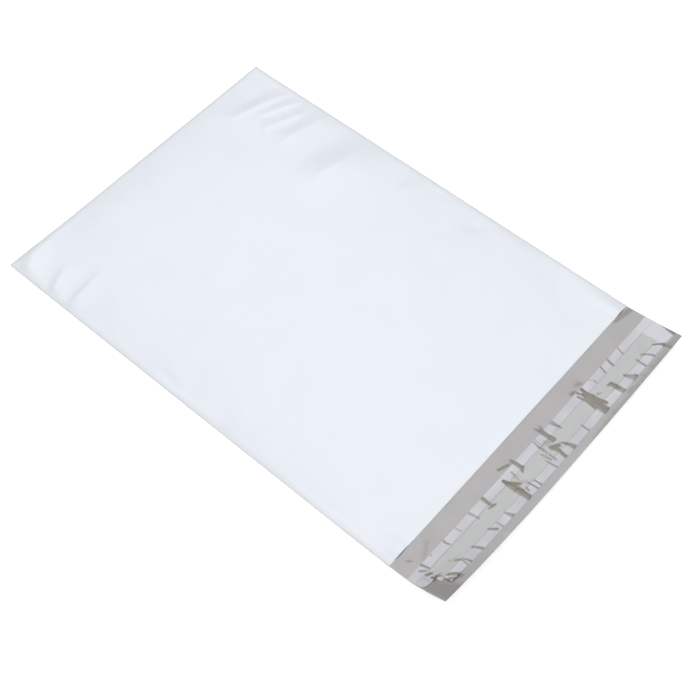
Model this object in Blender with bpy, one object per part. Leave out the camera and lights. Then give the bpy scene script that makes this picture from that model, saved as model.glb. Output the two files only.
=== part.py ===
"""Poly mailer bag, lying empty on its back.

One white and grey film is folded at the bottom and welded along both sides into a flat pocket.
Its back panel runs on past the open mouth as a lip. The lip carries an adhesive strip, and the
strip is covered by a clear release liner that has buckled into small tunnels.

Units are metres. +X runs from the bottom fold to the lip, +Y across the bag, and +Z up.
The table is at z = 0, and the origin is on it, under the middle of the bag.
"""

from itertools import pairwise
from math import cos, exp, hypot, pi, sin

import bmesh
import bpy

# Pocket
POCKET_WIDTH = 0.250
POCKET_LENGTH = 0.345
FILM_THICKNESS = 0.00006
LAYER_GAP = 0.0001

# Side welds: a strip where both layers are melted into one, with a round bead on its outer side
WELD_WIDTH = 0.0015
WELD_BEAD = 0.00025

# Loft of the front panel over the back one
LOFT = 0.0028
LOFT_REACH_FROM_FOLD = 0.028
LOFT_SIDE_POWER = 2.6
MOUTH_LIFT = 0.0003
MOUTH_REACH = 0.110
SEAM_REACH = 0.010

# Lip: its outer edge lifts off the table, most at its two corners
LIP_LENGTH = 0.044
LIP_RISE_LEFT = 0.012
LIP_RISE_MIDDLE = 0.0045
LIP_RISE_RIGHT = 0.0075
LIP_CURL_LEFT = 1.9
LIP_CURL_RIGHT = 1.2

# Adhesive strip, measured from the mouth and from the bag's two sides
ADHESIVE_FROM_MOUTH = 0.0208
ADHESIVE_WIDTH = 0.0105
ADHESIVE_THICKNESS = 0.00015
ADHESIVE_INSET_LEFT = 0.0106
ADHESIVE_INSET_RIGHT = 0.012

# Release liner
LINER_FROM_MOUTH = 0.0145
LINER_WIDTH = 0.0233
LINER_THICKNESS = 0.00004
LINER_STEP = 0.0015
LINER_CORNER_LEFT = 0.012
LINER_CORNER_RIGHT = 0.003
LINER_CORNER_LIFT = 0.0016
LINER_CORNER_REACH = 0.036
TUNNEL_HEIGHT_RATIO = 0.30

# How much farther from the mouth both strips lie at the right side than at the left one
STRIP_SKEW = 0.0013

# Clearance between pieces that lie on each other
SEAT = 0.0001

# Mesh spacing
FOLD_STEPS = 2
LIP_STEPS = 8
FINE_STEP = 0.0050
COARSE_STEP = 0.012
FINE_LENGTH = 0.120
FINE_WIDTH = 0.062
LINER_COLUMN_STEP = 0.0085
LINER_STEPS = 2
TUNNEL_STEPS = 4
TUNNEL_CLEAR = 0.62
ADHESIVE_COLUMNS = 26
ADHESIVE_STEPS = 2
SAME_PLACE = 0.000001

# Middle of the side welds, and the height of each layer of film over the table
SIDE_Y = POCKET_WIDTH / 2 - WELD_BEAD
POCKET_Y = SIDE_Y - WELD_WIDTH
BACK_Z = FILM_THICKNESS / 2
LAYER_PITCH = FILM_THICKNESS + LAYER_GAP
FOLD_RADIUS = FILM_THICKNESS + LAYER_GAP / 2

# Creases of the front panel: start and end as (distance from the bottom fold, distance from the
# right side), then half width and height. A negative height is a valley.
CREASES = (
    ((0.046, 0.004), (0.027, 0.049), 0.0060, 0.0013),
    ((0.030, 0.006), (0.019, 0.034), 0.0080, -0.0008),
    ((0.064, 0.006), (0.052, 0.030), 0.0120, -0.0010),
    ((0.036, 0.048), (0.074, 0.036), 0.0070, 0.0008),
    ((0.114, 0.002), (0.100, 0.060), 0.0090, -0.0013),
    ((0.132, 0.002), (0.116, 0.056), 0.0090, 0.0008),
    ((0.088, 0.004), (0.084, 0.050), 0.0100, 0.0008),
    ((0.165, 0.003), (0.163, 0.026), 0.0080, -0.0006),
    ((0.004, 0.206), (0.026, 0.246), 0.0090, 0.0010),
    ((0.050, 0.246), (0.038, 0.222), 0.0070, -0.0007),
    ((0.204, 0.246), (0.202, 0.220), 0.0090, -0.0006),
    ((0.300, 0.006), (0.322, 0.040), 0.0140, -0.0005),
    ((0.318, 0.244), (0.332, 0.206), 0.0140, -0.0005),
)

# Tunnels of the release liner: place as a share of the way from the left side to the right one,
# start and end as shares of the liner's width, and full width
TUNNELS = (
    (0.0521, 0.00, 0.24, 0.0026),
    (0.0745, 0.80, 1.00, 0.0050),
    (0.1218, 0.72, 1.00, 0.0040),
    (0.1363, 0.00, 0.22, 0.0028),
    (0.1683, 0.73, 1.00, 0.0032),
    (0.2349, 0.00, 0.31, 0.0030),
    (0.2541, 0.77, 1.00, 0.0026),
    (0.2858, 0.00, 0.40, 0.0038),
    (0.3603, 0.12, 1.00, 0.0064),
    (0.3968, 0.70, 1.00, 0.0032),
    (0.4180, 0.00, 0.31, 0.0040),
    (0.4729, 0.68, 1.00, 0.0026),
    (0.4938, 0.00, 0.80, 0.0028),
    (0.5154, 0.48, 1.00, 0.0054),
    (0.5343, 0.00, 0.44, 0.0056),
    (0.5475, 0.72, 1.00, 0.0040),
    (0.5731, 0.00, 0.38, 0.0034),
    (0.6120, 0.75, 1.00, 0.0026),
    (0.6910, 0.00, 1.00, 0.0100),
    (0.7623, 0.56, 1.00, 0.0050),
    (0.7864, 0.00, 0.26, 0.0026),
    (0.8128, 0.74, 1.00, 0.0050),
    (0.8184, 0.00, 0.27, 0.0026),
    (0.8641, 0.00, 0.25, 0.0026),
    (0.8958, 0.70, 1.00, 0.0036),
    (0.9387, 0.74, 1.00, 0.0040),
)


def bell(distance):
    """A smooth bump: 1 at 0, and 0 at 1 and beyond."""
    return cos(pi * distance / 2) ** 2 if abs(distance) < 1 else 0.0


def ramp(value):
    """A smooth step from 0 at 0 to 1 at 1."""
    value = min(max(value, 0.0), 1.0)
    return value * value * (3 - 2 * value)


def even(start, end, steps):
    return [start + (end - start) * i / steps for i in range(steps + 1)]


def graded(start, fine_end, end):
    """Places from start to end, in fine steps up to fine_end and in coarse ones after it."""
    fine = even(start, fine_end, round(abs(fine_end - start) / FINE_STEP))
    coarse = even(fine_end, end, round(abs(end - fine_end) / COARSE_STEP))
    return fine + coarse[1:]


def lip_rise(y):
    corner = LIP_RISE_LEFT if y < 0 else LIP_RISE_RIGHT
    return LIP_RISE_MIDDLE + (corner - LIP_RISE_MIDDLE) * (y / SIDE_Y) ** 2


def lip_curl(y):
    middle = (LIP_CURL_LEFT + LIP_CURL_RIGHT) / 2
    return middle + (LIP_CURL_RIGHT - LIP_CURL_LEFT) / 2 * y / SIDE_Y


def lip_run(from_mouth, y):
    """How far the lip reaches along X at a length from_mouth along its film."""
    curl = lip_curl(y)
    lost = (lip_rise(y) * curl) ** 2 / (2 * LIP_LENGTH * (2 * curl - 1))
    return from_mouth - lost * (from_mouth / LIP_LENGTH) ** (2 * curl - 1)


# The lip's curl shortens the bag, and the origin is under the middle of what is left
FOLD_X = -(POCKET_LENGTH + lip_run(LIP_LENGTH, 0.0)) / 2
MOUTH_X = FOLD_X + POCKET_LENGTH


def lip_point(from_mouth, y, above=0.0):
    """The middle of the lip's film, or a place above it."""
    rise = lip_rise(y) * (from_mouth / LIP_LENGTH) ** lip_curl(y)
    return MOUTH_X + lip_run(from_mouth, y), y, BACK_Z + rise + above


def crease_height(from_fold, y):
    from_right = POCKET_Y - y
    height = 0.0
    for (start_a, start_b), (end_a, end_b), half_width, top in CREASES:
        along_a, along_b = end_a - start_a, end_b - start_b
        length = hypot(along_a, along_b)
        a, b = from_fold - start_a, from_right - start_b
        along = (a * along_a + b * along_b) / length**2
        across = (a * along_b - b * along_a) / length
        height += top * bell(across / half_width) * bell(2 * along - 1) ** 0.5
    return height


def loft(from_fold, y):
    """How far the front panel stands over its flat state, with its creases."""
    from_seam = min(from_fold, POCKET_Y - abs(y))
    if from_seam <= 0:
        return 0.0
    side = 1 - abs(y / POCKET_Y) ** LOFT_SIDE_POWER
    filled = 1 - exp(-from_fold / LOFT_REACH_FROM_FOLD)
    to_mouth = ramp((POCKET_LENGTH - from_fold) / MOUTH_REACH)
    smooth = side * filled * (MOUTH_LIFT + (LOFT - MOUTH_LIFT) * to_mouth)
    return max(smooth + crease_height(from_fold, y) * ramp(from_seam / SEAM_REACH), 0.0)


def layers(from_fold, y):
    """Heights of the middle of the back and of the front film."""
    return BACK_Z, BACK_Z + LAYER_PITCH + loft(from_fold, y)


def pocket_ring(x, columns, film_side, height=1.0):
    """A section across the pocket: along the back to the right, and along the front to the left.

    film_side is half a film's thickness: outwards for the outer surface, and negative for the
    inner one. height closes the ring up inside the bottom fold.
    """
    back, front = [], []
    for y in columns:
        low, high = layers(x - FOLD_X - FOLD_RADIUS, y)
        middle = (low + high) / 2
        half = ((high - low) / 2 + film_side) * height
        back.append((x, y, middle - half))
        front.append((x, y, middle + half))
    return back, front[::-1]


def fold_rings(columns, film_side):
    """The sections of one surface round the bottom fold, from its outermost line."""
    radius = LAYER_PITCH / 2 + film_side
    turns = even(pi / 2, 0.0, FOLD_STEPS)[:-1]
    centre_x = FOLD_X + FOLD_RADIUS
    return [
        pocket_ring(centre_x - radius * sin(turn), columns, film_side, cos(turn))
        for turn in turns
    ]


def principled(name, colour, roughness, alpha=1.0):
    material = bpy.data.materials.new(name)
    material.use_nodes = True
    shader = material.node_tree.nodes["Principled BSDF"]
    shader.inputs["Base Color"].default_value = (*colour, 1.0)
    shader.inputs["Roughness"].default_value = roughness
    shader.inputs["Alpha"].default_value = alpha
    return material


def loft_rows(bm, rows, material=0, closed=False):
    """Faces between rows of points. A closed row also joins its last point to its first."""
    lines = [[bm.verts.new(point) for point in row] for row in rows]
    for low, high in pairwise(lines):
        if closed:
            low, high = [*low, low[0]], [*high, high[0]]
        for (a, b), (c, d) in zip(pairwise(low), pairwise(high)):
            bm.faces.new((a, b, d, c)).material_index = material


def add_object(name, bm, materials):
    """Makes an object of the faces, after joining the points that coincide."""
    bmesh.ops.remove_doubles(bm, verts=bm.verts, dist=SAME_PLACE)
    bmesh.ops.recalc_face_normals(bm, faces=bm.faces)
    mesh = bpy.data.meshes.new(name)
    bm.to_mesh(mesh)
    bm.free()
    for material in materials:
        mesh.materials.append(material)
    part = bpy.data.objects.new(name, mesh)
    bpy.context.scene.collection.objects.link(part)
    return part


def dissolve_flat(bm, height):
    """Turns the level faces at one height into one face, as on a panel that lies on the table."""
    level = [
        face
        for face in bm.faces
        if all(abs(corner.co.z - height) < SAME_PLACE for corner in face.verts)
    ]
    bmesh.ops.dissolve_faces(bm, faces=level, use_verts=True)


def bag_film():
    """The folded film: back panel, bottom fold, front panel, side welds and lip in one piece."""
    white = principled("white_film", (0.84, 0.87, 0.90), 0.30)
    grey = principled("grey_film", (0.42, 0.40, 0.40), 0.35)
    half_film = FILM_THICKNESS / 2
    inner_columns = graded(POCKET_Y, POCKET_Y - FINE_WIDTH, -POCKET_Y)[::-1]
    columns = [-SIDE_Y, *inner_columns, SIDE_Y]
    first_x = FOLD_X + FOLD_RADIUS
    stations = graded(first_x, first_x + FINE_LENGTH, MOUTH_X)

    outer = fold_rings(columns, half_film)
    outer += [pocket_ring(x, columns, half_film) for x in stations]
    inner = fold_rings(inner_columns, -half_film)
    inner += [pocket_ring(x, inner_columns, -half_film) for x in stations]

    bm = bmesh.new()
    outer_rows = []
    for back, front in outer:
        x, _, low = back[0]
        high = front[0][2]
        bead_y = SIDE_Y + WELD_BEAD * (high - low) / (LAYER_PITCH + FILM_THICKNESS)
        middle = (low + high) / 2
        outer_rows.append([*back, (x, bead_y, middle), *front, (x, -bead_y, middle)])
    loft_rows(bm, outer_rows, closed=True)
    loft_rows(bm, [back + front for back, front in inner], material=1, closed=True)

    # The front panel's edge over the mouth, and the ends of the two welds
    back, front = outer[-1]
    inner_back, inner_front = inner[-1]
    loft_rows(bm, [front[1:-1], inner_front])
    left_lines = (-1, back, front[::-1], inner_back, inner_front[::-1])
    right_lines = (1, back[::-1], front, inner_back[::-1], inner_front)
    for side, low, high, inner_low, inner_high in (left_lines, right_lines):
        bead_z = (low[0][2] + high[0][2]) / 2
        bead = (MOUTH_X, side * (SIDE_Y + WELD_BEAD), bead_z)
        on_lip = (MOUTH_X, side * SIDE_Y, BACK_Z + half_film)
        weld_end = [bead, high[0], high[1], inner_high[0], inner_low[0], on_lip, low[0]]
        bm.faces.new([bm.verts.new(point) for point in weld_end])

    # The lip: its grey inner side, its white outer side, and the edges between them
    lengths = even(0.0, LIP_LENGTH, LIP_STEPS)
    under = [[lip_point(length, y, -half_film) for y in columns] for length in lengths]
    over = [[lip_point(length, y, half_film) for y in columns] for length in lengths]
    loft_rows(bm, under)
    loft_rows(bm, over, material=1)
    loft_rows(bm, [under[-1], over[-1]])
    for corner in (0, -1):
        loft_rows(bm, [[row[corner] for row in under], [row[corner] for row in over]])

    bmesh.ops.remove_doubles(bm, verts=bm.verts, dist=SAME_PLACE)
    dissolve_flat(bm, 0.0)
    dissolve_flat(bm, FILM_THICKNESS)
    return add_object("bag_film", bm, [white, grey])


def sheet(name, rows, thickness, material):
    """A thin strip through rows of points, with half its thickness on each side."""
    bm = bmesh.new()
    loft_rows(bm, rows)
    strip = add_object(name, bm, [material])
    wall = strip.modifiers.new("Thickness", "SOLIDIFY")
    wall.thickness = thickness
    wall.offset = 0.0
    wall.use_even_offset = True
    return strip


def strip_point(from_mouth, y, above):
    """A place on one of the two strips, which are laid on the lip a little askew."""
    return lip_point(from_mouth + STRIP_SKEW * y / (2 * SIDE_Y), y, above)


def adhesive_strip():
    """The band of hot-melt adhesive on the lip, which stops short of both sides."""
    glue = principled("hot_melt_adhesive", (0.52, 0.53, 0.47), 0.20, alpha=0.7)
    above = (FILM_THICKNESS + ADHESIVE_THICKNESS) / 2 + SEAT
    left = -SIDE_Y + ADHESIVE_INSET_LEFT
    right = SIDE_Y - ADHESIVE_INSET_RIGHT
    band_end = ADHESIVE_FROM_MOUTH + ADHESIVE_WIDTH
    rows = [
        [strip_point(from_mouth, y, above) for y in even(left, right, ADHESIVE_COLUMNS)]
        for from_mouth in even(ADHESIVE_FROM_MOUTH, band_end, ADHESIVE_STEPS)
    ]
    return sheet("adhesive_strip", rows, ADHESIVE_THICKNESS, glue)


def tunnel_height(from_mouth, from_left):
    """Height of the tunnels over a point of the liner. Each one is a long bump across it."""
    height = 0.0
    share = (from_mouth - LINER_FROM_MOUTH) / LINER_WIDTH
    for place, start, end, width in TUNNELS:
        across = (from_left - place * 2 * SIDE_Y) / (width / 2)
        along = (share - start) / (end - start)
        taper = ramp(2 * along) if start > 0 else 1.0
        taper *= ramp(2 - 2 * along) if end < 1 else 1.0
        height = max(height, TUNNEL_HEIGHT_RATIO * width * bell(across) * taper)
    return height


def liner_columns():
    """Distances from the left side, with a few columns over each tunnel."""
    columns = even(0.0, 2 * SIDE_Y, round(2 * SIDE_Y / LINER_COLUMN_STEP))
    for place, _, _, width in TUNNELS:
        centre = place * 2 * SIDE_Y
        clear = [column for column in columns if abs(column - centre) > TUNNEL_CLEAR * width]
        columns = clear + even(centre - width / 2, centre + width / 2, TUNNEL_STEPS)
    return sorted(columns)


def release_liner():
    """The clear strip over the adhesive, flush with both sides of the lip."""
    clear_film = principled("clear_liner_film", (0.72, 0.72, 0.76), 0.18, alpha=0.5)
    liner_end = LINER_FROM_MOUTH + LINER_WIDTH
    band_end = ADHESIVE_FROM_MOUTH + ADHESIVE_WIDTH
    on_film = (FILM_THICKNESS + LINER_THICKNESS) / 2 + SEAT
    stations = [
        *even(LINER_FROM_MOUTH, ADHESIVE_FROM_MOUTH - LINER_STEP, LINER_STEPS),
        *even(ADHESIVE_FROM_MOUTH, band_end, LINER_STEPS),
        *even(band_end + LINER_STEP, liner_end, LINER_STEPS),
    ]
    rows = []
    for from_mouth in stations:
        on_adhesive = ADHESIVE_FROM_MOUTH <= from_mouth <= band_end
        step = ADHESIVE_THICKNESS + SEAT if on_adhesive else 0.0
        corner = ramp((from_mouth - ADHESIVE_FROM_MOUTH) / (liner_end - ADHESIVE_FROM_MOUTH))
        row = []
        for from_left in liner_columns():
            near_left = bell(from_left / LINER_CORNER_REACH)
            near_right = bell((2 * SIDE_Y - from_left) / LINER_CORNER_REACH)
            trim = LINER_CORNER_LEFT * near_left - LINER_CORNER_RIGHT * near_right
            above = on_film + step + tunnel_height(from_mouth, from_left)
            above += LINER_CORNER_LIFT * corner * near_left
            row.append(strip_point(from_mouth, from_left - SIDE_Y + trim * corner, above))
        rows.append(row)
    return sheet("release_liner", rows, LINER_THICKNESS, clear_film)


def main():
    for old in list(bpy.data.objects):
        bpy.data.objects.remove(old)
    bag_film()
    adhesive_strip()
    release_liner()


main()
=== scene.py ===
# %% [markdown]
# # A poly mailer bag
#
# The bag lies empty on its back. It is made of one plastic film, white outside and grey inside,
# folded at the bottom and welded along both sides. The back panel runs on past the open mouth as
# a closing lip, with a band of adhesive under a clear release liner.
#
# Everything that shows is a thin sheet, so each sheet is laid out flat as a fine grid and then
# moved to where the real one lies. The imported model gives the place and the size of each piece.

from math import hypot, pi, radians

import bpy
import numpy as np
from mathutils import Matrix, Vector, noise


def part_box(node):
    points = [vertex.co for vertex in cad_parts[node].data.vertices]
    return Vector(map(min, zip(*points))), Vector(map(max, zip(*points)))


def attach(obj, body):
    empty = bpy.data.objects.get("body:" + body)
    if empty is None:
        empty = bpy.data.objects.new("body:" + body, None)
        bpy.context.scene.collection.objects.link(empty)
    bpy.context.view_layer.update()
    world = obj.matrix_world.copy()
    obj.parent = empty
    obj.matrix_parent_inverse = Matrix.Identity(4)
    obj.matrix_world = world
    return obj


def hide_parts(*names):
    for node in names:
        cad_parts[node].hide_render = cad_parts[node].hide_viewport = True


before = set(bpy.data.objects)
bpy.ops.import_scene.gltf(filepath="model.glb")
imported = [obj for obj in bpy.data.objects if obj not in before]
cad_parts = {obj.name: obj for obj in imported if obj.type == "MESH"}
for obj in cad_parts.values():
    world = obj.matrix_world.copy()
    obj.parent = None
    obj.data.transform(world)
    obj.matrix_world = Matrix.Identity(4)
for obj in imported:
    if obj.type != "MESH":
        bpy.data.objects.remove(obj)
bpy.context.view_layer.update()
for name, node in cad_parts.items():
    low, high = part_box(name)
    print(name, "measures", [round(1000 * side, 1) for side in high - low], "mm")

# %% [markdown]
# ## Sizes
#
# All shapes here are worked out in millimetres and become metres when a mesh is made. The sizes
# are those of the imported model: the pocket is 250 mm wide and 345 mm long, and the film is
# 0.06 mm thick. X runs from the bottom fold to the lip, Y across the bag and Z up.

# %% The bag's sizes in millimetres
POCKET_WIDTH = 250.0
POCKET_LENGTH = 345.0
FILM_THICKNESS = 0.06
LAYER_GAP = 0.1
WELD_WIDTH = 1.5
WELD_BEAD = 0.25
LIP_LENGTH = 44.0

SIDE_Y = POCKET_WIDTH / 2 - WELD_BEAD
POCKET_Y = SIDE_Y - WELD_WIDTH
BACK_Z = FILM_THICKNESS / 2
LAYER_PITCH = FILM_THICKNESS + LAYER_GAP
FOLD_RADIUS = LAYER_PITCH / 2
print("the web is", POCKET_WIDTH, "mm wide and", 2 * POCKET_LENGTH + LIP_LENGTH, "mm long")

# %% [markdown]
# ## Two curves that every shape uses
#
# A crease or a dent is a smooth bump that starts and ends level. A step that turns one height
# into another is smooth at both ends. Both work on whole grids of numbers at once, which keeps
# the script fast.

# %% A bump and a step


def bump(distance):
    """1 at 0, and 0 at 1 and beyond, level at both."""
    inside = np.abs(distance) < 1
    return np.where(inside, np.cos(pi * np.clip(distance, -1, 1) / 2) ** 2, 0.0)


def step(value):
    """0 up to 0, 1 from 1 on, and smooth between."""
    value = np.clip(value, 0, 1)
    return value * value * (3 - 2 * value)


def ripple(a, b, size, seed):
    """Soft uneven waves between -1 and 1. size is how far apart they lie, along a and along b."""
    places = np.column_stack([a.ravel() / size[0], b.ravel() / size[1]])
    heights = [noise.noise(Vector((x, y, seed))) for x, y in places]
    return np.array(heights).reshape(a.shape)


def line_place(a, b, start, end):
    """How far a place is along a straight line, 0 to 1, and how far beside it."""
    run_a, run_b = end[0] - start[0], end[1] - start[1]
    length = hypot(run_a, run_b)
    along = ((a - start[0]) * run_a + (b - start[1]) * run_b) / length**2
    beside = ((a - start[0]) * run_b - (b - start[1]) * run_a) / length
    return along, beside


def stroke(a, b, start, end, widths, bend):
    """How far a place is from a bent, tapered line: 0 on the line, and 1 at its edge."""
    along, beside = line_place(a, b, start, end)
    inside = np.clip(along, 0, 1)
    beyond = (along - inside) * hypot(end[0] - start[0], end[1] - start[1])
    middle = bend * 4 * inside * (1 - inside)
    half_width = (widths[0] + (widths[1] - widths[0]) * inside) / 2
    return np.hypot(beside - middle, beyond) / half_width


print("bump at its edge:", float(bump(np.array(1.0))), "and step at its end:", float(step(1.0)))

# %% [markdown]
# ## The creases of the front panel
#
# The film was folded in a stack, so it keeps a few creases: a sharp ridge and a crumpled patch in
# one bottom corner, a broad soft fold beside them, short folds along the sides, and dents near
# the mouth. Each is a straight line with a height and two half widths, because most of them rise
# slowly on one side and fall steeply on the other. A sharp one comes to a point at its crest.

# %% Creases: start and end as (from the fold, from the right side), half widths on the side of
# the fold and of the mouth, height, sharpness
CREASES = (
    ((39, 1), (23.5, 54), 11.0, 3.0, 1.5, 0.5),
    ((52, 2), (38, 38), 9.0, 2.5, 1.1, 0.5),
    ((63, 4), (50, 46), 9.0, 3.0, 0.9, 0.5),
    ((76, 2), (68, 50), 13.0, 6.0, 1.5, 0.5),
    ((120, 0), (108, 68), 23.0, 34.0, 2.6, 0.5),
    ((100, 44), (112, 60), 5.0, 5.0, -0.4, 0.5),
    ((42, 36), (60, 51), 3.0, 6.0, 0.5, 0.6),
    ((58, 51), (78, 47), 3.0, 6.0, 0.4, 0.6),
    ((113, 83), (133, 71), 6.0, 6.0, -0.3, 0.3),
    ((157, 74), (168, 55), 6.0, 6.0, -0.3, 0.3),
    ((167, 0), (165, 32), 6.0, 14.0, 0.8, 0.5),
    ((180, 6), (191, 3), 4.0, 4.0, -0.4, 0.4),
    ((222, 18), (228, 8), 6.0, 6.0, -0.3, 0.2),
    ((212, 56), (228, 48), 8.0, 8.0, -0.3, 0.1),
    ((302, 7), (320, 15), 6.0, 6.0, -0.5, 0.6),
    ((290, 4), (330, 34), 14.0, 14.0, -0.5, 0.1),
    ((-2, 214), (18, 254), 15.0, 12.0, 2.0, 0.3),
    ((2, 164), (2, 236), 3.0, 6.0, 0.4, 0.2),
    ((29, 222), (43, 252), 6.0, 12.0, 1.2, 0.6),
    ((52, 206), (57, 252), 5.0, 10.0, 1.0, 0.7),
    ((142, 238), (161, 247), 7.0, 7.0, -0.4, 0.3),
    ((203, 222), (201, 251), 4.0, 14.0, 0.8, 0.6),
    ((284, 245), (318, 246), 9.0, 9.0, -0.4, 0.2),
    ((318, 246), (334, 206), 13.0, 13.0, -0.5, 0.1),
)
PIMPLES = ((31.7, 185.2), (30.9, 216.9), (52.0, 111.0))


def crease_height(from_fold, y):
    from_right = POCKET_Y - y
    height = np.zeros_like(from_fold)
    for start, end, fold_side, mouth_side, top, sharp in CREASES:
        along, beside = line_place(from_fold, from_right, start, end)
        across = np.abs(beside) / np.where(beside > 0, mouth_side, fold_side)
        pointed = np.clip(1 - across, 0, 1) ** 2
        profile = sharp * pointed + (1 - sharp) * bump(across)
        height += top * profile * np.sqrt(bump(2 * along - 1))
    for place_a, place_b in PIMPLES:
        height += 0.35 * bump(np.hypot(from_fold - place_a, from_right - place_b) / 2.5)
    return height


print(len(CREASES), "creases and", len(PIMPLES), "pimples")

# %% [markdown]
# ## How the front panel stands over the back one
#
# A little air keeps the two panels apart: nothing at the fold and the welds, and about 3 mm in
# the middle. It runs out towards the mouth, where the front panel lies on the lip again but for
# two small buckles at its corners. Slow waves from the film's extrusion lie over all of it.

# %% Height of the front panel
LOFT = 2.8
LOFT_REACH_FROM_FOLD = 28.0
LOFT_SIDE_POWER = 2.6
MOUTH_LIFT = 0.2
MOUTH_REACH = 110.0
SEAM_REACH = 5.0
MOUTH_BUCKLES = ((-113.0, 9.0, 1.1), (117.0, 7.0, 1.1))


def front_height(from_fold, y):
    """How far the front panel stands over its flat state."""
    from_seam = np.clip(np.minimum(from_fold, POCKET_Y - np.abs(y)), 0, None)
    side = 1 - np.clip(np.abs(y / POCKET_Y), 0, 1) ** LOFT_SIDE_POWER
    filled = 1 - np.exp(-from_fold / LOFT_REACH_FROM_FOLD)
    to_mouth = step((POCKET_LENGTH - from_fold) / MOUTH_REACH)
    smooth = side * filled * (MOUTH_LIFT + (LOFT - MOUTH_LIFT) * to_mouth)
    waves = 0.34 * ripple(from_fold, y, (46, 38), 3.1) + 0.12 * ripple(from_fold, y, (17, 15), 8.4)
    crumple = bump(np.hypot((from_fold - 57) / 30, (POCKET_Y - y - 26) / 30))
    waves += crumple * 0.6 * ripple(from_fold, y, (9, 8), 1.7)
    height = smooth + (crease_height(from_fold, y) + waves) * step(from_seam / SEAM_REACH)
    for middle, reach, top in MOUTH_BUCKLES:
        near_mouth = np.exp(-(POCKET_LENGTH - from_fold) / (2.2 * reach))
        height += top * bump((y - middle) / reach) * near_mouth
    return np.clip(height, 0, None)


sample = front_height(np.array([[172.0]]), np.array([[0.0]]))
print("the front panel stands", round(float(sample[0, 0]), 2), "mm up in the middle")

# %% [markdown]
# ## The lip
#
# The lip lifts off the table towards its outer edge, most at its two corners, because the film
# was wound on a roll with its printed side in. The film keeps its length as it curls, so it
# reaches a little less far along X. The liner and the adhesive lie on the same curve.

# %% The curve of the lip
LIP_RISE_LEFT = 12.0
LIP_RISE_MIDDLE = 4.5
LIP_RISE_RIGHT = 7.5
LIP_CURL_LEFT = 1.9
LIP_CURL_RIGHT = 1.2


def lip_reach(from_mouth, y):
    """How far the lip reaches along X, and how high it is, at a length along its film."""
    share = y / SIDE_Y
    corner = np.where(share < 0, LIP_RISE_LEFT, LIP_RISE_RIGHT)
    rise = LIP_RISE_MIDDLE + (corner - LIP_RISE_MIDDLE) * share**2
    curl = (LIP_CURL_LEFT + LIP_CURL_RIGHT) / 2 + (LIP_CURL_RIGHT - LIP_CURL_LEFT) / 2 * share
    lost = (rise * curl) ** 2 / (2 * LIP_LENGTH * (2 * curl - 1))
    along = from_mouth / LIP_LENGTH
    return from_mouth - lost * along ** (2 * curl - 1), rise * along**curl


middle_reach, middle_rise = lip_reach(LIP_LENGTH, 0.0)
FOLD_X = -(POCKET_LENGTH + middle_reach) / 2
MOUTH_X = FOLD_X + POCKET_LENGTH
print("fold at", round(float(FOLD_X), 2), "mm and mouth at", round(float(MOUTH_X), 2), "mm")

# %% Small buckles of the lip, and places on it
LIP_BUCKLES = (
    ((12.5, 92), (11.5, 101), 2.2, 0.5),
    ((13.5, 103), (10.0, 103.5), 2.0, 0.5),
    ((9.5, 131), (15.0, 132), 2.2, 0.6),
    ((12.0, 167), (14.0, 172), 2.4, 0.6),
    ((8.0, 178), (14.0, 174), 3.4, 0.5),
    ((36.0, 236), (44.0, 239), 2.4, 0.7),
    ((30.0, 12), (36.0, 13), 2.2, 0.5),
    ((38.0, 60), (44.0, 63), 3.0, 0.4),
    ((39.0, 172), (44.0, 170), 4.0, 0.5),
    ((5.0, 9), (8.0, 11), 2.0, 0.4),
    ((4.0, 22), (14.0, 32), 5.0, 0.4),
)
LIP_NARROWING = 0.9

# Where both panels lift off the table together: from the fold, across, reach and height
CORNER_LIFTS = ((0.0, -SIDE_Y, 60.0, 1.2), (POCKET_LENGTH, -SIDE_Y, 55.0, 1.2))


def whole_lift(from_fold, y):
    lift = np.zeros_like(from_fold)
    for place_a, place_y, reach, top in CORNER_LIFTS:
        lift += top * bump(np.hypot(from_fold - place_a, y - place_y) / reach)
    return lift


def lip_place(from_mouth, y, above):
    """Places on the lip, above millimetres over the middle of its film."""
    reach, rise = lip_reach(from_mouth, y)
    from_left = y + SIDE_Y
    height = np.zeros_like(rise)
    for start, end, half_width, top in LIP_BUCKLES:
        along, beside = line_place(from_mouth, from_left, start, end)
        height += top * bump(beside / half_width) * bump(2 * along - 1) ** 0.5
    free = step(from_mouth / 20)
    height += free * 0.22 * ripple(from_mouth, y, (60, 13), 5.5)
    height += free * 0.35 * ripple(from_mouth, y, (90, 34), 2.2)
    narrow = 1 - LIP_NARROWING / SIDE_Y * step(from_mouth / LIP_LENGTH) * (y / SIDE_Y) ** 2
    lift = whole_lift(np.full_like(y, POCKET_LENGTH), y) * (1 - step(from_mouth / 25))
    return MOUTH_X + reach, y * narrow, BACK_Z + rise + lift + np.clip(height, -0.4, None) + above


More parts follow.
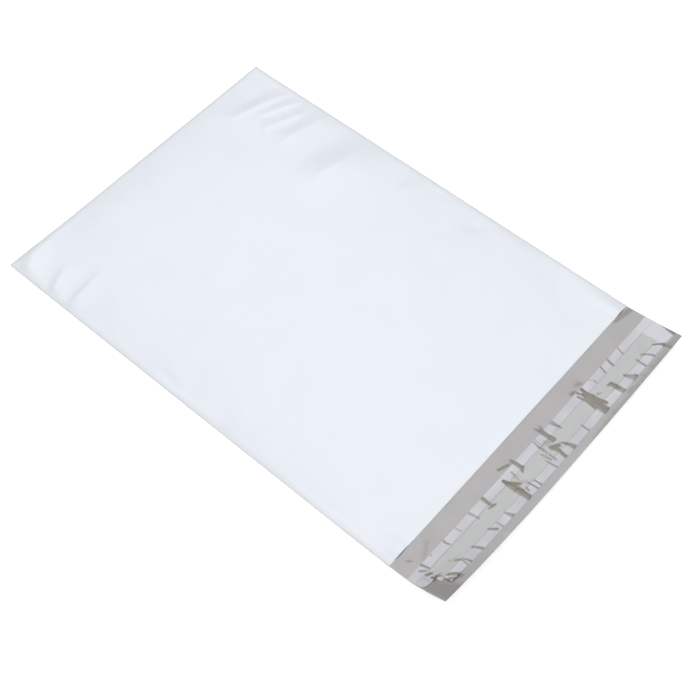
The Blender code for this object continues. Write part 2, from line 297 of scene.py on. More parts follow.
# Painted shade on the lip's film: darker in its buckles and folds, a painted shadow under the mouth's
# edge, and darker zones near its ends and along its outer edge: start, end, widths, bend, darkness
LIP_SHADE_STROKES = (
    ((10.2, 94.0), (13.0, 101.4), (2.4, 2.4), 0.0, 0.75),
    ((11.6, 104.4), (14.6, 104.3), (1.8, 2.4), 0.0, 0.8),
    ((10.2, 132.6), (14.0, 133.2), (1.6, 2.0), 0.0, 0.8),
    ((11.2, 135.8), (14.4, 134.8), (1.6, 2.0), 0.0, 0.8),
    ((12.6, 168.2), (13.2, 171.4), (2.2, 2.0), 0.0, 0.85),
    ((11.0, 175.0), (12.5, 179.0), (3.4, 3.0), 0.0, 0.35),
    ((38.0, 236.0), (44.2, 238.0), (2.8, 2.8), 0.3, 0.75),
    ((6.4, 9.4), (8.0, 10.8), (1.8, 1.8), 0.0, 0.5),
    ((7.0, 27.0), (13.0, 17.0), (3.0, 4.0), 0.0, 0.22),
    ((30.0, 6.0), (43.0, 8.0), (15.0, 18.0), 0.0, 0.42),
    ((27.6, 9.0), (27.8, 11.0), (2.2, 2.2), 0.0, 0.8),
    ((28.0, 13.8), (35.0, 13.6), (2.0, 2.0), 0.0, 0.6),
    ((36.0, 17.0), (39.0, 21.0), (4.0, 3.0), 0.0, 0.6),
    ((41.0, 192.0), (42.5, 200.0), (3.4, 3.4), 0.0, 0.35),
    ((40.5, 208.0), (43.0, 209.5), (3.0, 3.0), 0.0, 0.35),
    ((40.5, 217.0), (42.5, 218.5), (3.0, 3.0), 0.0, 0.35),
    ((42.0, 224.0), (43.4, 230.0), (2.4, 2.4), 0.0, 0.35),
    ((43.5, 150.0), (42.5, 249.0), (3.4, 6.0), 0.0, 0.28),
    ((1.2, 234.0), (3.6, 249.0), (3.4, 5.0), 0.0, 0.5),
    ((26.0, 249.8), (38.0, 248.6), (1.5, 4.2), 0.0, 0.7),
)


def lip_shade_map(from_mouth, from_left):
    painted_shade = np.zeros_like(from_mouth)
    for start, end, widths, bend, darkness in LIP_SHADE_STROKES:
        away = stroke(from_mouth, from_left, start, end, widths, bend)
        painted_shade = np.maximum(painted_shade, darkness * step(1.6 - 1.3 * away))
    return painted_shade


print(len(LIP_BUCKLES), "buckles and", len(LIP_SHADE_STROKES), "pinches in the lip")

# %% [markdown]
# ## Laying out a sheet
#
# Blender's grid is a flat sheet with even squares. A sheet here starts as a grid with as many
# rows and columns as the shape needs, and then each of its corners is moved to its place. Where
# the surface bends sharply the rows lie closer. Solidify then gives the sheet its thickness, and
# the modifier is applied so that the mesh is the finished piece.

# %% Helpers that lay out a sheet and give it a thickness


def select_only(piece):
    bpy.ops.object.select_all(action="DESELECT")
    piece.select_set(True)
    bpy.context.view_layer.objects.active = piece


def lay_sheet(name, x, y, z):
    """A grid whose corners lie at x, y and z, in millimetres: rows by columns."""
    rows, columns = x.shape
    bpy.ops.object.select_all(action="DESELECT")
    bpy.ops.mesh.primitive_grid_add(x_subdivisions=columns - 1, y_subdivisions=rows - 1, size=1)
    sheet = bpy.context.object
    sheet.name = sheet.data.name = name
    flat = np.empty(3 * rows * columns)
    sheet.data.vertices.foreach_get("co", flat)
    flat = flat.reshape(-1, 3)
    column = np.rint((flat[:, 0] + 0.5) * (columns - 1)).astype(int)
    row = np.rint((flat[:, 1] + 0.5) * (rows - 1)).astype(int)
    places = np.column_stack([x[row, column], y[row, column], z[row, column]]) / 1000
    sheet.data.vertices.foreach_set("co", places.ravel())
    sheet.data.update()
    return sheet, row, column


def keep_values(sheet, name, values):
    """Stores one number for each corner of the sheet, which a material can read."""
    layer = sheet.data.attributes.new(name, "FLOAT", "POINT")
    layer.data.foreach_set("value", values.astype(np.float32))


def thicken(sheet, thickness, inner_material=0):
    """Gives a sheet half its thickness on each side."""
    select_only(sheet)
    for _ in range(inner_material + 1):
        bpy.ops.object.material_slot_add()
    wall = sheet.modifiers.new("Thickness", "SOLIDIFY")
    wall.thickness = thickness / 1000
    wall.offset = 0
    wall.material_offset = inner_material
    bpy.ops.object.modifier_apply(modifier=wall.name)
    bpy.ops.object.shade_smooth_by_angle(angle=radians(50))
    print(sheet.name, "has", len(sheet.data.polygons), "faces")


# %% [markdown]
# ## The folded film
#
# The real bag starts as one long web. Its rows are listed here in the order in which the film
# runs: from the mouth over the front panel, round the bottom fold, back along the back panel, and
# out over the lip. The creased end of the front panel and the lip have rows 1.4 mm apart, and
# those of the back panel, which lies flat on the table, lie 18 mm apart.

# %% Rows and columns of the web
inner_columns = np.linspace(-POCKET_Y + 0.8, POCKET_Y - 0.8, 204)
right_weld = np.array([POCKET_Y, SIDE_Y])
columns = np.concatenate([-right_weld[::-1], inner_columns, right_weld])
front_rows = np.concatenate(
    [
        np.linspace(POCKET_LENGTH, 325, 13),
        np.linspace(325, 140, 54)[1:],
        np.linspace(140, 90, 26)[1:],
        np.linspace(90, FOLD_RADIUS, 63)[1:],
    ]
)
back_rows = np.linspace(FOLD_RADIUS, POCKET_LENGTH, 20)
lip_rows = np.linspace(0, LIP_LENGTH, 38)[1:]
turns = np.linspace(0, pi, 7)[1:-1]

# %% Heights of the two films of the pocket


def pocket_heights(from_fold, y):
    """Heights of the middle of the back film and of the front film."""
    lift = whole_lift(from_fold, y)
    open_share = step((SIDE_Y - WELD_WIDTH / 2 - np.abs(y)) / WELD_WIDTH)
    front = BACK_Z + FILM_THICKNESS + LAYER_GAP * open_share + front_height(from_fold, y)
    return BACK_Z + lift, front + lift


# %% Places of the web, row by row
from_fold, across = np.meshgrid(front_rows, columns, indexing="ij")
front_z = pocket_heights(from_fold, across)[1]
front_part = (FOLD_X + from_fold, across, front_z)

turn, across = np.meshgrid(turns, columns, indexing="ij")
low, high = pocket_heights(np.full_like(turn, FOLD_RADIUS), across)
fold_x = FOLD_X + FOLD_RADIUS - FOLD_RADIUS * np.sin(turn)
fold_part = (fold_x, across, (low + high) / 2 + (high - low) / 2 * np.cos(turn))

from_fold, across = np.meshgrid(back_rows, columns, indexing="ij")
back_part = (FOLD_X + from_fold, across, pocket_heights(from_fold, across)[0])

from_mouth, across = np.meshgrid(lip_rows, columns, indexing="ij")
lip_part = lip_place(from_mouth, across, 0.0)

web = [np.vstack(parts) for parts in zip(front_part, fold_part, back_part, lip_part)]
print("the web has", web[0].shape[0], "rows of", web[0].shape[1], "places")

# %% The web becomes the bag's film
bag, row, column = lay_sheet("mailer_film", *web)
shape = web[0].shape
from_edge = POCKET_WIDTH / 2 - np.abs(np.broadcast_to(columns, shape))
from_bottom = web[0] - FOLD_X
in_pocket = np.zeros(shape)
in_pocket[: -len(lip_rows)] = 1
# Painted shade along the welds and the fold, where the film turns down, with some of the grey inside
# showing through there
seam_shade = in_pocket * np.maximum(np.exp(-from_edge / 1.3), np.exp(-from_bottom / 1.1))
# Painted shade on the lip's film, stored for its material
lip_shade = np.zeros(shape)
lip_shade[-len(lip_rows) :] = lip_shade_map(from_mouth, columns[None, :] + SIDE_Y)
keep_values(bag, "seam_shade", seam_shade[row, column])
keep_values(bag, "lip_shade", lip_shade[row, column])
thicken(bag, FILM_THICKNESS, inner_material=1)

# %% [markdown]
# ## The weld beads
#
# A hot knife cuts and welds the sides in one go, and the molten film draws back into a thin round
# bead along the cut. It is a long thin tube, so it starts as a cylinder with eight sides, cut into
# short lengths and bent to follow the side.

# %% A bead along each side
BEAD_HEIGHT = 0.2
BEAD_LENGTHS = 70


def weld_bead(name, side):
    turns = np.linspace(0, 2 * pi, 9)
    rows = np.linspace(0.0, POCKET_LENGTH, BEAD_LENGTHS)
    turn, along = np.meshgrid(turns, rows, indexing="ij")
    middle_y = np.full_like(along, side * (SIDE_Y - 0.05))
    low, high = pocket_heights(along, middle_y)
    y = middle_y + side * WELD_BEAD * np.cos(turn)
    z = np.clip((low + high) / 2 + BEAD_HEIGHT * np.sin(turn), 0.005, None)
    bead, _, _ = lay_sheet(name, FOLD_X + along, y, z)
    select_only(bead)
    bpy.ops.object.mode_set(mode="EDIT")
    bpy.ops.mesh.select_all(action="SELECT")
    bpy.ops.mesh.remove_doubles(threshold=0.000001)
    bpy.ops.mesh.select_all(action="DESELECT")
    bpy.ops.mesh.select_non_manifold()
    bpy.ops.mesh.edge_face_add()
    bpy.ops.mesh.select_all(action="SELECT")
    bpy.ops.mesh.normals_make_consistent(inside=False)
    bpy.ops.object.mode_set(mode="OBJECT")
    bpy.ops.object.shade_smooth()
    return bead


beads = [weld_bead("weld_bead_left", -1), weld_bead("weld_bead_right", 1)]

# %% [markdown]
# ## The adhesive
#
# The adhesive is laid on the lip as a hot, thick liquid, and sets in a flat band with slightly
# wavy edges. It stops 11 mm short of both sides, so that the bag can still be pulled open.

# %% The band of adhesive
ADHESIVE_FROM_MOUTH = 20.9
ADHESIVE_WIDTH = 10.5
ADHESIVE_THICKNESS = 0.15
ADHESIVE_LEFT = 10.6
ADHESIVE_RIGHT = 12.0
SEAT = 0.1

share, along = np.meshgrid(
    np.linspace(0, 1, 9), np.linspace(-SIDE_Y + ADHESIVE_LEFT, SIDE_Y - ADHESIVE_RIGHT, 240), indexing="ij"
)
edge_wave = 0.22 * ripple(along, share, (11, 0.4), 4.2)
from_mouth = ADHESIVE_FROM_MOUTH + ADHESIVE_WIDTH * share + edge_wave * np.abs(2 * share - 1)
adhesive_over = FILM_THICKNESS / 2 + SEAT + ADHESIVE_THICKNESS / 2
adhesive, _, _ = lay_sheet("adhesive_band", *lip_place(from_mouth, along, adhesive_over))
thicken(adhesive, ADHESIVE_THICKNESS)

# %% [markdown]
# ## The release liner
#
# The liner is a clear film that lies over the adhesive from side to side. It is a little longer
# than the curled lip under it, so it has buckled up into narrow tunnels that run across it. Each
# tunnel is a bent line with a width at both ends. A height map adds them up, and a second map
# holds the painted shade of the tunnels: where the liner stands free, it loses its bright haze,
# shade is painted into its colour, and the film is made less clear.

# %% Tunnels: start, end, widths there, bend sideways, darkness of the painted shade (from the mouth, from the left)
LINER_FROM_MOUTH = 14.1
LINER_WIDTH = 23.4
LINER_SKEW = 1.3
LINER_END = LINER_FROM_MOUTH + LINER_WIDTH
LINER_THICKNESS = 0.04
TUNNELS = (
    ((12.8, 12.3), (19.6, 13.8), (2.2, 1.2), 0.0, 0.75),
    ((16.4, 8.9), (19.4, 11.3), (1.8, 1.0), 0.0, 0.6),
    ((21.5, 9.2), (23.1, 11.8), (2.2, 2.0), 0.0, 1.0),
    ((21.4, 6.5), (25.4, 6.7), (0.9, 0.9), 0.0, 0.25),
    ((25.0, 9.5), (27.6, 10.2), (1.6, 2.2), 0.0, 0.95),
    ((26.1, 11.6), (29.0, 13.4), (1.5, 1.5), 0.0, 0.8),
    ((31.8, 16.2), (31.9, 16.5), (1.8, 1.8), 0.0, 1.0),
    ((33.0, 17.6), (38.6, 20.4), (2.8, 3.4), -0.4, 0.85),
    ((35.0, 14.6), (37.6, 16.4), (3.0, 3.4), 0.0, 0.65),
    ((26.0, 24.6), (28.8, 27.8), (1.2, 1.4), 0.0, 0.35),
    ((29.2, 27.4), (31.8, 30.0), (1.8, 1.4), 0.0, 0.75),
    ((31.6, 30.0), (38.0, 28.9), (1.2, 1.3), 0.0, 0.55),
    ((31.9, 30.6), (37.8, 32.2), (1.4, 2.0), -0.3, 0.65),
    ((13.0, 21.5), (15.2, 21.2), (1.7, 1.0), 0.0, 0.4),
    ((13.2, 34.2), (19.0, 34.2), (1.7, 1.5), 0.7, 0.65),
    ((15.0, 45.0), (19.0, 45.5), (1.0, 1.1), 0.0, 0.35),
    ((13.2, 58.1), (22.0, 59.3), (2.4, 1.4), 0.0, 0.5),
    ((31.0, 40.6), (37.8, 43.4), (1.2, 2.8), -0.4, 0.65),
    ((31.2, 56.7), (35.4, 59.6), (1.2, 2.4), 0.0, 0.75),
    ((32.0, 63.3), (37.6, 63.6), (0.9, 1.3), 0.0, 0.5),
    ((13.8, 71.7), (23.0, 71.3), (2.7, 2.2), 0.2, 0.8),
    ((22.6, 68.4), (23.8, 73.6), (1.3, 1.3), 0.0, 0.95),
    ((30.8, 73.0), (31.0, 73.4), (1.0, 1.0), 0.0, 0.5),
    ((32.2, 71.9), (37.6, 73.3), (1.2, 3.4), -0.2, 0.55),
    ((17.4, 89.7), (23.0, 90.0), (2.2, 4.6), 0.0, 1.0),
    ((23.0, 90.0), (31.0, 90.2), (4.8, 5.0), 0.0, 1.0),
    ((31.0, 90.1), (38.0, 90.0), (4.8, 4.6), 0.0, 0.85),
    ((23.0, 91.6), (26.9, 94.6), (3.4, 1.4), 0.0, 0.95),
    ((31.4, 94.6), (34.0, 93.8), (1.2, 1.4), 0.0, 0.8),
    ((17.2, 97.9), (20.6, 97.3), (1.1, 1.4), 0.0, 0.55),
    ((20.6, 97.0), (26.0, 95.6), (1.6, 1.0), 0.0, 0.25),
    ((26.4, 97.0), (30.2, 97.5), (0.8, 0.8), 0.0, 0.4),
    ((30.4, 98.0), (38.0, 98.6), (1.2, 1.3), -0.2, 0.85),
    ((28.0, 98.9), (30.6, 98.6), (0.7, 0.7), 0.0, 0.4),
    ((31.8, 101.9), (38.0, 102.1), (1.0, 1.3), 0.0, 0.85),
    ((13.4, 104.3), (20.6, 104.4), (3.0, 3.2), 0.0, 0.85),
    ((20.8, 105.7), (22.7, 102.4), (1.6, 1.6), 0.3, 0.95),
    ((13.6, 124.3), (20.0, 123.2), (0.9, 1.2), 0.0, 0.6),
    ((19.4, 123.2), (24.0, 123.0), (1.6, 1.8), 0.0, 0.75),
    ((24.0, 123.0), (34.0, 122.3), (1.2, 1.1), 0.0, 0.7),
    ((13.6, 126.2), (22.0, 125.0), (0.8, 0.9), 0.0, 0.5),
    ((24.2, 119.6), (31.0, 120.4), (1.0, 1.1), 0.0, 0.85),
    ((29.4, 117.8), (38.0, 118.3), (0.9, 1.2), 0.2, 0.7),
    ((13.0, 132.4), (24.4, 132.2), (2.0, 2.4), -0.3, 0.95),
    ((13.0, 134.6), (24.4, 134.2), (1.8, 2.2), 0.5, 0.95),
    ((14.0, 133.4), (24.0, 133.2), (2.2, 2.2), 0.0, 0.7),
    ((22.2, 128.4), (22.6, 128.6), (5.2, 5.2), 0.0, 0.22),
    ((26.2, 127.6), (29.0, 131.9), (3.2, 3.0), 0.0, 0.85),
    ((26.0, 127.4), (31.4, 128.8), (2.6, 2.8), 0.0, 0.95),
    ((31.0, 128.7), (37.6, 127.8), (2.4, 2.8), 0.0, 0.8),
    ((29.2, 134.4), (37.9, 136.7), (1.0, 4.0), -0.7, 0.62),
    ((14.0, 142.7), (21.4, 143.5), (3.8, 1.0), 0.0, 0.5),
    ((21.2, 143.2), (22.6, 143.4), (1.2, 1.2), 0.0, 0.8),
    ((31.6, 152.9), (38.4, 152.6), (1.3, 1.3), 0.2, 0.65),
    ((13.4, 170.8), (20.6, 172.4), (2.0, 1.4), 0.0, 0.95),
    ((17.2, 169.0), (31.0, 168.7), (1.6, 2.4), -0.7, 0.95),
    ((13.6, 175.4), (34.0, 176.2), (2.6, 2.8), 1.2, 1.0),
    ((19.4, 172.9), (38.6, 170.8), (4.2, 5.4), 0.2, 0.8),
    ((24.0, 175.0), (38.4, 173.2), (3.4, 2.4), 0.6, 0.95),
    ((26.6, 171.4), (31.6, 171.4), (3.0, 3.0), 0.0, 0.95),
    ((26.0, 178.4), (27.6, 180.2), (1.8, 1.0), 0.0, 0.45),
    ((14.4, 184.6), (16.6, 184.6), (1.2, 1.0), 0.0, 0.3),
    ((17.8, 185.8), (21.0, 185.6), (1.4, 1.3), 0.0, 0.5),
    ((27.4, 188.4), (28.6, 190.6), (1.8, 2.4), 0.0, 1.0),
    ((28.6, 190.1), (34.0, 190.4), (3.6, 4.0), 0.0, 1.0),
    ((34.0, 190.4), (38.8, 190.4), (4.0, 4.4), 0.0, 0.6),
    ((14.8, 197.3), (20.3, 195.5), (1.2, 1.3), 0.0, 0.7),
    ((15.0, 205.0), (21.1, 203.5), (1.4, 1.6), 0.3, 0.75),
    ((14.7, 217.0), (21.0, 214.9), (1.1, 1.3), 0.3, 0.65),
    ((31.2, 201.0), (38.6, 203.4), (1.8, 5.6), 0.0, 0.52),
    ((36.4, 205.2), (38.8, 205.7), (1.4, 2.0), 0.0, 1.0),
    ((30.8, 215.8), (38.7, 215.2), (1.4, 1.7), 0.0, 0.6),
    ((30.6, 220.8), (39.2, 225.4), (1.0, 2.2), -0.9, 0.65),
    ((32.2, 232.0), (39.4, 236.6), (1.0, 2.8), -0.9, 0.85),
)


# Most of the smaller tunnels let some light through, so the shade painted into them is lighter: their
# darkness is less than 1


def tunnel_map(from_mouth, from_left):
    """Height of the tunnels, and the shade painted into them."""
    height = np.zeros_like(from_mouth)
    painted_shade = np.zeros_like(from_mouth)
    for start, end, widths, bend, darkness in TUNNELS:
        away = stroke(from_mouth, from_left, start, end, widths, bend)
        height = np.maximum(height, min(0.26 * max(widths), 1.1) * bump(away * 0.8))
        painted_shade = np.maximum(painted_shade, darkness * step(1.6 - 1.3 * away))
    return height, painted_shade


print(len(TUNNELS), "tunnels")

# %% The liner's outline
# Its left end is torn to a lobe, and its right end is cut a little askew


def liner_ends(from_mouth):
    """Where the liner starts and ends, as distances from the left side."""
    left = np.interp(from_mouth, [24.4, 26.4, 27.3, 27.6, 29.0], [0.3, 2.0, 6.0, 11.0, 13.6])
    right = np.interp(from_mouth, [25.0, 37.8], [249.3, 246.6])
    return left, right


# %% The liner's shape
band_end = ADHESIVE_FROM_MOUTH + ADHESIVE_WIDTH
liner_rows = np.concatenate(
    [
        np.linspace(LINER_FROM_MOUTH, ADHESIVE_FROM_MOUTH - 0.7, 15),
        np.linspace(ADHESIVE_FROM_MOUTH - 0.3, band_end + 0.3, 24),
        np.linspace(band_end + 0.7, LINER_END, 14),
    ]
)
liner_shares = np.linspace(0.0, 1.0, 560)
straight, share = np.meshgrid(liner_rows, liner_shares, indexing="ij")
left_end, right_end = liner_ends(straight)
from_left = left_end + (right_end - left_end) * share
askew = LINER_SKEW * (from_left / POCKET_WIDTH - 0.25)
near_band = bump((straight - ADHESIVE_FROM_MOUTH - ADHESIVE_WIDTH / 2) / 12)
from_mouth = straight + askew * (1 - 0.6 * near_band) + 0.2 * ripple(from_left, straight, (21, 60), 6.3)
on_adhesive = (straight > ADHESIVE_FROM_MOUTH - 0.5) & (straight < band_end + 0.5)
height, painted_shade = tunnel_map(from_mouth, from_left)
over_film = FILM_THICKNESS / 2 + SEAT + LINER_THICKNESS / 2
over_adhesive = np.where(on_adhesive, ADHESIVE_THICKNESS + SEAT, 0.0)
corner = step((straight - ADHESIVE_FROM_MOUTH) / (LINER_END - ADHESIVE_FROM_MOUTH))
lifted_end = 1.4 * corner * bump(from_left / 36.0)
above = over_film + over_adhesive + height + lifted_end
liner, row, column = lay_sheet("liner_film", *lip_place(from_mouth, from_left - SIDE_Y, above))
wet_length = step((from_left - ADHESIVE_LEFT) / 2) * step((2 * SIDE_Y - ADHESIVE_RIGHT - from_left) / 2)
wet = np.where(on_adhesive, 1.0, 0.0) * wet_length
# The painted shade of the tunnels, which the liner's material reads
keep_values(liner, "painted_shade", painted_shade[row, column])
keep_values(liner, "wet", wet[row, column])
haze = 0.45 + 0.5 * ripple(from_left, from_mouth, (14, 9), 7.7) + 0.6 * step((from_left - 232) / 8)
keep_values(liner, "haze", np.clip(haze, 0, 1)[row, column])
thicken(liner, LINER_THICKNESS)

# %% [markdown]
# ## Helpers for materials
#
# Colours are written as the hex values that a picture shows, and one function turns them into
# the linear numbers that Blender works with. One more function adds a node with its settings and
# links, so that each material below reads as a list of its nodes.

# %% Colour and node helpers


def colour(hex_value):
    """An sRGB hex colour as linear red, green, blue and an alpha of 1."""
    parts = [int(hex_value[i : i + 2], 16) / 255 for i in (1, 3, 5)]
    return (*[p / 12.92 if p <= 0.04045 else ((p + 0.055) / 1.055) ** 2.4 for p in parts], 1.0)


def add_node(material, kind, settings=None, **links):
    """Adds a node. settings are its properties, and links its inputs: a number or a socket."""
    node = material.node_tree.nodes.new(kind)
    for name, value in (settings or {}).items():
        setattr(node, name, value)
    for name, value in links.items():
        key = int(name[1:]) if name[1:].isdigit() else name.replace("_", " ")
        if isinstance(value, bpy.types.NodeSocket):
            material.node_tree.links.new(value, node.inputs[key])
        else:
            node.inputs[key].default_value = value
    return node


def new_material(name, roughness, ior):
    material = bpy.data.materials.new(name)
    material.use_nodes = True
    shader = material.node_tree.nodes["Principled BSDF"]
    shader.inputs["Roughness"].default_value = roughness
    shader.inputs["IOR"].default_value = ior
    return material, shader


def connect(material, shader, **links):
    for name, value in links.items():
        material.node_tree.links.new(value, shader.inputs[name.replace("_", " ")])


print("white film is", [round(c, 2) for c in colour("#e6ebf2")])

# %% [markdown]
# ## White film
#
# The outside of the bag is polyethylene filled with white pigment and blown as a film. It has a
# soft satin gloss and a faint cool tint. Slow waves from blowing show as a change of sheen. Along
# the welds and the fold the film is painted a little darker: partly the grey inside showing where
# they have squeezed the film thin, partly painted shade where the film turns down at the edges.

# %% White film material
white_film, shader = new_material("white_polyethylene_film", 0.30, 1.51)
place = add_node(white_film, "ShaderNodeTexCoord").outputs["Object"]
clouds = add_node(white_film, "ShaderNodeTexNoise", Vector=place, Scale=28.0, Detail=3.0)
body = add_node(
    white_film,
    "ShaderNodeMix",
    {"data_type": "RGBA"},
    i0=clouds.outputs["Fac"],
    i6=colour("#e3e9f1"),
    i7=colour("#e9edf3"),
)
seam_shade_value = add_node(white_film, "ShaderNodeAttribute", {"attribute_name": "seam_shade"})
# Painted shade along the welds and the fold mixed into the colour, partly the grey inside showing through
pressed_and_shaded = add_node(
    white_film,
    "ShaderNodeMix",
    {"data_type": "RGBA"},
    i0=seam_shade_value.outputs["Fac"],
    i6=body.outputs[2],
    i7=colour("#cfd0d4"),
)
fine = add_node(white_film, "ShaderNodeTexNoise", Vector=place, Scale=55.0, Detail=4.0)
relief = add_node(
    white_film, "ShaderNodeBump", Height=fine.outputs["Fac"], Strength=0.5, Distance=0.0006
)
connect(white_film, shader, Base_Color=pressed_and_shaded.outputs[2], Normal=relief.outputs["Normal"])

# %% [markdown]
# ## Grey film
#
# The inside layer is filled with carbon black and white together, so that nothing shows through
# the bag. It is a warm mid grey with the same satin gloss, and has faint clouds.

# %% Grey film material
grey_film, shader = new_material("grey_polyethylene_film", 0.38, 1.51)
place = add_node(grey_film, "ShaderNodeTexCoord").outputs["Object"]
clouds = add_node(grey_film, "ShaderNodeTexNoise", Vector=place, Scale=60.0, Detail=4.0)
body = add_node(
    grey_film,
    "ShaderNodeMix",
    {"data_type": "RGBA"},
    i0=clouds.outputs["Fac"],
    i6=colour("#a6a3a3"),
    i7=colour("#b4b1b2"),
)
fine = add_node(grey_film, "ShaderNodeTexNoise", Vector=place, Scale=140.0, Detail=4.0)
relief = add_node(
    grey_film, "ShaderNodeBump", Height=fine.outputs["Fac"], Strength=0.5, Distance=0.0003
)
# Painted shade of the lip's buckles, a painted shadow under the mouth's edge, and darker zones, mixed into
# the grey
lip_shade_value = add_node(grey_film, "ShaderNodeAttribute", {"attribute_name": "lip_shade"})
lip_shaded = add_node(
    grey_film,
    "ShaderNodeMix",
    {"data_type": "RGBA"},
    i0=lip_shade_value.outputs["Fac"],
    i6=body.outputs[2],
    i7=colour("#6b645f"),
)
connect(grey_film, shader, Base_Color=lip_shaded.outputs[2], Normal=relief.outputs["Normal"])
bag.material_slots[0].material = white_film
bag.material_slots[1].material = grey_film

# %% [markdown]
# ## Weld bead
#
# In the bead the white and the grey film have melted into each other, so it is a pale grey, and
# glossier than the film.

# %% Weld bead material
melted, shader = new_material("melted_polyethylene", 0.25, 1.51)
place = add_node(melted, "ShaderNodeTexCoord").outputs["Object"]
clouds = add_node(melted, "ShaderNodeTexNoise", Vector=place, Scale=120.0, Detail=2.0)
body = add_node(
    melted,
    "ShaderNodeMix",
    {"data_type": "RGBA"},
    i0=clouds.outputs["Fac"],
    i6=colour("#cfcfd2"),
    i7=colour("#dedfe2"),
)
connect(melted, shader, Base_Color=body.outputs[2])
for bead in beads:
    bead.data.materials.append(melted)

# %% [markdown]
# ## Adhesive
#
# Hot melt is a clear, slightly yellow resin. It was drawn out along the strip, so it has fine
# streaks that run lengthwise.

# %% Adhesive material
hot_melt, shader = new_material("hot_melt_adhesive", 0.3, 1.48)
shader.inputs["Alpha"].default_value = 0.75
place = add_node(hot_melt, "ShaderNodeTexCoord").outputs["Object"]
drawn = add_node(hot_melt, "ShaderNodeMapping", Vector=place, Scale=(900.0, 45.0, 900.0))
streaks = add_node(hot_melt, "ShaderNodeTexNoise", Vector=drawn.outputs[0], Scale=1.0, Detail=2.0)
body = add_node(
    hot_melt,
    "ShaderNodeMix",
    {"data_type": "RGBA"},
    i0=streaks.outputs["Fac"],
    i6=colour("#b6b7b3"),
    i7=colour("#fafaf8"),
)
connect(hot_melt, shader, Base_Color=body.outputs[2])
adhesive.material_slots[0].material = hot_melt

# %% [markdown]
# ## Release liner
#
# The liner is a clear film with a thin silicone coat. On the bare lip it lies loose, and the air
# under it gives it a bright haze. On the adhesive it is wetted, and the haze goes. In a tunnel
# the shade under the raised film is painted into its colour as an olive grey, with lighter painted
# glints in it, and the film is made less clear there. The two maps that were stored on the mesh say which
# is where.

# %% Release liner material
clear_film, shader = new_material("siliconed_liner_film", 0.28, 1.5)
place = add_node(clear_film, "ShaderNodeTexCoord").outputs["Object"]
wet_value = add_node(clear_film, "ShaderNodeAttribute", {"attribute_name": "wet"})
painted_shade_value = add_node(clear_film, "ShaderNodeAttribute", {"attribute_name": "painted_shade"})
haze_value = add_node(clear_film, "ShaderNodeAttribute", {"attribute_name": "haze"})
clouds = add_node(
    clear_film,
    "ShaderNodeMix",
    {"data_type": "RGBA"},
    i0=haze_value.outputs["Fac"],
    i6=colour("#d0d0d7"),
    i7=colour("#e8e8ef"),
)
wetted = add_node(
    clear_film,
    "ShaderNodeMix",
    {"data_type": "RGBA"},
    i0=wet_value.outputs["Fac"],
    i6=clouds.outputs[2],
    i7=colour("#dcddde"),
)
# Lighter specks in the tunnels' painted shade are painted glints
glint_specks = add_node(clear_film, "ShaderNodeTexNoise", Vector=place, Scale=900.0, Detail=2.0)
hollow_shade = add_node(
    clear_film,
    "ShaderNodeMix",
    {"data_type": "RGBA"},
    i0=glint_specks.outputs["Fac"],
    i6=colour("#6e6a62"),
    i7=colour("#989280"),
)
# The tunnels' painted shade mixed into the liner's colour
tint = add_node(
    clear_film,
    "ShaderNodeMix",
    {"data_type": "RGBA"},
    i0=painted_shade_value.outputs["Fac"],
    i6=wetted.outputs[2],
    i7=hollow_shade.outputs[2],
)
cover = add_node(
    clear_film,
    "ShaderNodeMapRange",
    i0=wet_value.outputs["Fac"],
    To_Min=0.68,
    To_Max=0.4,
)
# The liner is made less clear where the tunnels' shade is painted
closed = add_node(
    clear_film,
    "ShaderNodeMath",
    {"operation": "MAXIMUM"},
    i0=cover.outputs[0],
    i1=painted_shade_value.outputs["Fac"],
)
connect(clear_film, shader, Base_Color=tint.outputs[2], Alpha=closed.outputs[0])
liner.material_slots[0].material = clear_film

# %% [markdown]
# ## Riding on the frame
#
# The bag has no moving parts, so each piece rides on the one body of the model, and stands for
# the solid whose place it takes.

# %% Tie the pieces to the imported model
for piece in (bag, adhesive, liner, *beads):
    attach(piece, "root")
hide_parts("bag_film")
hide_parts("adhesive_strip")
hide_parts("release_liner")

# %% [markdown]
# ## Floor, light and camera
#
# The bag lies on a plain white floor. A large soft lamp stands where the film mirrors it towards
# the camera, so the flat film shines a little, and every crease that tilts away goes dull. That
# is what makes creases readable on a white thing. The floor shows white to the camera but keeps
# the bag's soft shadow.

# %% Floor
bpy.ops.object.select_all(action="DESELECT")
bpy.ops.mesh.primitive_plane_add(size=6.0, location=(0, 0, -0.0001))
floor = bpy.context.object
floor.name = floor.data.name = "floor"
floor_paint = bpy.data.materials.new("white_floor")
floor_paint.use_nodes = True
floor_paint.node_tree.nodes.clear()
matt = add_node(floor_paint, "ShaderNodeBsdfDiffuse", Color=colour("#bcbcbc"))
glow = add_node(floor_paint, "ShaderNodeEmission", Color=(1.0, 1.0, 1.0, 1.0), Strength=0.72)
both = add_node(floor_paint, "ShaderNodeAddShader", i0=matt.outputs[0], i1=glow.outputs[0])
plain = add_node(floor_paint, "ShaderNodeBsdfDiffuse", Color=colour("#e8e8e8"))
rays = add_node(floor_paint, "ShaderNodeLightPath")
seen = add_node(
    floor_paint,
    "ShaderNodeMixShader",
    i0=rays.outputs["Is Camera Ray"],
    i1=plain.outputs[0],
    i2=both.outputs[0],
)
add_node(floor_paint, "ShaderNodeOutputMaterial", Surface=seen.outputs[0])
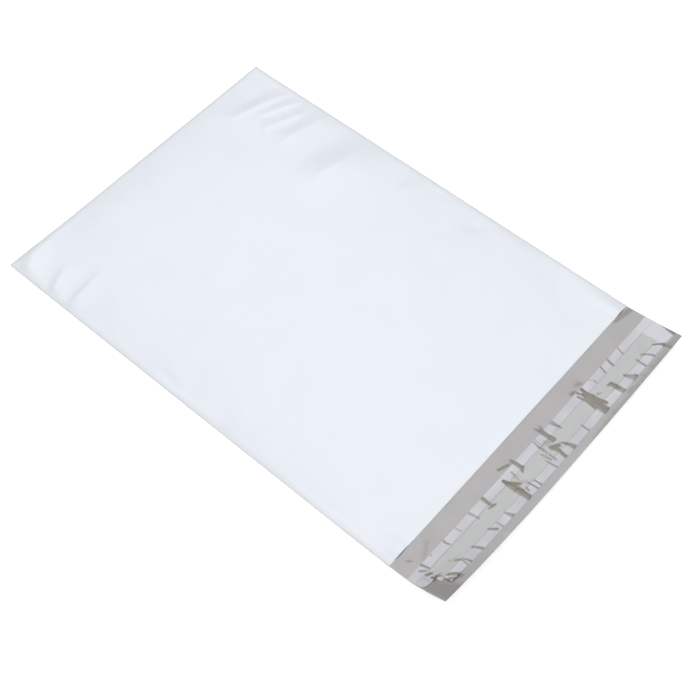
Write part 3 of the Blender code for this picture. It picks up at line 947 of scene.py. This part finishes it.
floor.data.materials.append(floor_paint)

# %% World
world = bpy.data.worlds.new("studio")
bpy.context.scene.world = world
world.use_nodes = True
world.node_tree.nodes.clear()
rays = add_node(world, "ShaderNodeLightPath")
room = add_node(world, "ShaderNodeBackground", Color=(0.97, 0.98, 1.0, 1.0), Strength=0.04)
white = add_node(world, "ShaderNodeBackground", Color=(1.0, 1.0, 1.0, 1.0), Strength=1.0)
seen = add_node(
    world,
    "ShaderNodeMixShader",
    i0=rays.outputs["Is Camera Ray"],
    i1=room.outputs[0],
    i2=white.outputs[0],
)
add_node(world, "ShaderNodeOutputWorld", Surface=seen.outputs[0])

# %% Lamps


def soft_lamp(name, place, size, watts, tint):
    bpy.ops.object.light_add(type="AREA", location=place)
    lamp = bpy.context.object
    lamp.name = lamp.data.name = name
    lamp.data.shape = "RECTANGLE"
    lamp.data.size, lamp.data.size_y = size
    lamp.data.energy = watts
    lamp.data.color = tint
    lamp.rotation_euler = (Vector((0, 0, 0)) - Vector(place)).to_track_quat("-Z", "Y").to_euler()
    return lamp


key = soft_lamp("key_softbox", (-1.0, 1.18, 2.4), (2.4, 1.75), 31.0, (1.0, 1.0, 1.0))
key.rotation_euler = (0, 0, 0)
soft_lamp("top_softbox", (0.0, 0.0, 2.2), (2.0, 2.0), 11.0, (1.0, 1.0, 1.0))
soft_lamp("left_softbox", (-0.5, -1.0, 1.9), (1.2, 1.2), 18.0, (1.0, 1.0, 1.0))
soft_lamp("mouth_softbox", (1.2, 0.9, 2.0), (1.2, 1.2), 17.5, (1.0, 1.0, 1.0))

# %% Camera
camera_data = bpy.data.cameras.new("camera")
camera_data.sensor_width = 36.0
camera_data.lens = 36.0 * 1300.0 / 700.0
camera = bpy.data.objects.new("camera", camera_data)
bpy.context.scene.collection.objects.link(camera)
camera.location = (0.3435, -0.3655, 0.7308)
camera.rotation_euler = (radians(32.353), radians(0.868), radians(41.034))
bpy.context.scene.camera = camera
bpy.context.scene.view_settings.view_transform = "Standard"
